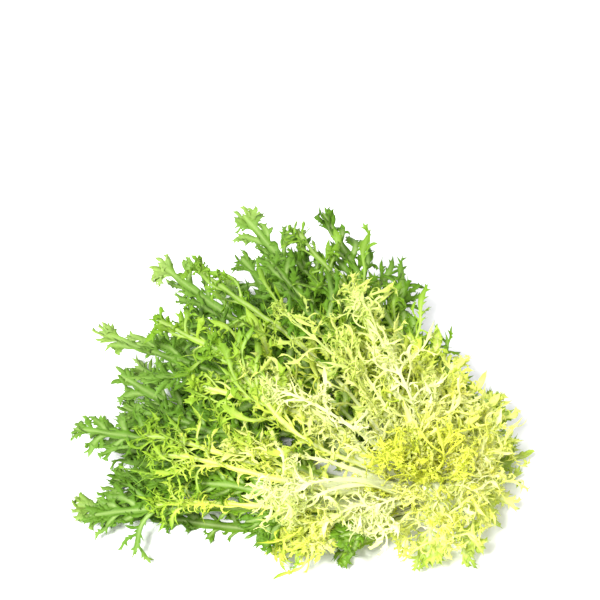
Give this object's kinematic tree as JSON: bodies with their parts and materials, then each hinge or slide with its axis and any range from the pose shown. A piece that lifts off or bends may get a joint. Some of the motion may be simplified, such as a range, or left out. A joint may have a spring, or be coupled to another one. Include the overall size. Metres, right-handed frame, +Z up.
{
  "type": "frisee head",
  "caption": "Head of frisee, or curly endive, lying down: long finely cut green leaves fanned to one side, short leaves curling round a pale yellow heart on a cut stem.",
  "frame": {"origin": "bottom centre of the whole head's box, on the surface that it lies on", "axes": "+X runs from the tips of the fanned leaves towards the heart, +Y away from the cut stem's near side over the fan, +Z up"},
  "size_m": [0.3404, 0.297, 0.1182],
  "materials": {
    "stem": "moist cut plant",
    "leaf_green": "satin fresh leaf",
    "leaf_lime": "satin fresh leaf",
    "leaf_yellow": "satin fresh leaf",
    "heart_yellow": "satin fresh leaf"
  },
  "bodies": {
    "root": {"back_leaf_1": "leaf_green", "back_leaf_2": "leaf_green", "back_leaf_3": "leaf_green", "back_leaf_4": "leaf_green", "back_leaf_5": "leaf_green", "back_leaf_6": "leaf_green", "back_leaf_7": "leaf_green", "back_leaf_8": "leaf_green", "heart": "heart_yellow", "inner_leaf_1": "leaf_yellow", "inner_leaf_2": "leaf_yellow", "inner_leaf_3": "leaf_yellow", "inner_leaf_4": "leaf_yellow", "inner_leaf_5": "leaf_yellow", "inner_leaf_6": "leaf_yellow", "inner_leaf_7": "leaf_yellow", "middle_leaf_1": "leaf_lime", "middle_leaf_2": "leaf_lime", "middle_leaf_3": "leaf_lime", "middle_leaf_4": "leaf_lime", "middle_leaf_5": "leaf_lime", "middle_leaf_6": "leaf_lime", "middle_leaf_7": "leaf_lime", "middle_leaf_8": "leaf_lime", "middle_leaf_9": "leaf_lime", "near_leaf_1": "leaf_yellow", "near_leaf_2": "leaf_yellow", "near_leaf_3": "leaf_yellow", "near_leaf_4": "leaf_yellow", "near_leaf_5": "leaf_yellow", "outer_leaf_1": "leaf_green", "outer_leaf_2": "leaf_green", "outer_leaf_3": "leaf_green", "outer_leaf_4": "leaf_green", "outer_leaf_5": "leaf_green", "outer_leaf_6": "leaf_green", "outer_leaf_7": "leaf_green", "outer_leaf_8": "leaf_green", "outer_leaf_9": "leaf_green", "side_leaf_1": "leaf_lime", "side_leaf_2": "leaf_lime", "side_leaf_3": "leaf_lime", "side_leaf_4": "leaf_lime", "side_leaf_5": "leaf_lime", "stem": "stem", "under_leaf_1": "leaf_green", "under_leaf_2": "leaf_green", "under_leaf_3": "leaf_green", "under_leaf_4": "leaf_green", "under_leaf_5": "leaf_green", "upper_leaf_1": "leaf_yellow", "upper_leaf_2": "leaf_yellow", "upper_leaf_3": "leaf_yellow", "upper_leaf_4": "leaf_yellow", "upper_leaf_5": "leaf_yellow", "upper_leaf_6": "leaf_yellow", "upper_leaf_7": "leaf_yellow", "upper_leaf_8": "leaf_yellow"}
  },
  "joints": []
}
